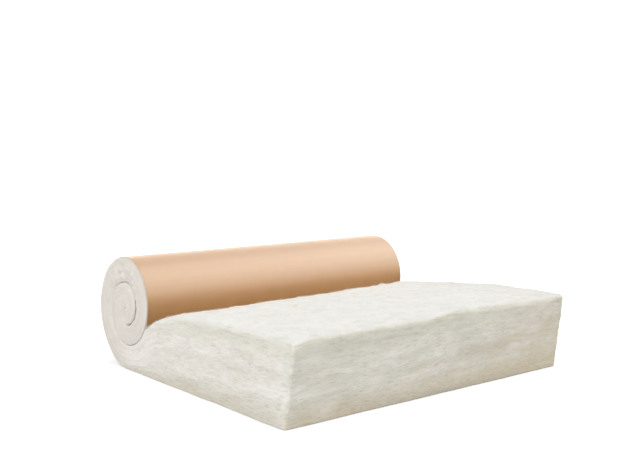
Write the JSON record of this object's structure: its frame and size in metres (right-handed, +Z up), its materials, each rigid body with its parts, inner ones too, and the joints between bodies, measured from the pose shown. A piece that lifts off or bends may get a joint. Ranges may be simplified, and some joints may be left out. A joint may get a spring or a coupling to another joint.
{
  "type": "insulation roll",
  "caption": "Glass wool insulation blanket with a kraft paper facing, part rolled up with the paper outwards and part laid flat, cut square across its swollen end.",
  "frame": {"origin": "centre of the footprint, on the floor under the kraft facing", "axes": "+X along the roll's axis, -Y towards the cut end of the blanket, +Z up"},
  "size_m": [1.2, 1.1802, 0.405],
  "materials": {
    "glass_wool": "matte",
    "kraft_paper": "satin"
  },
  "bodies": {
    "root": {"wool_blanket": "glass_wool", "kraft_facing": "kraft_paper"}
  },
  "joints": []
}
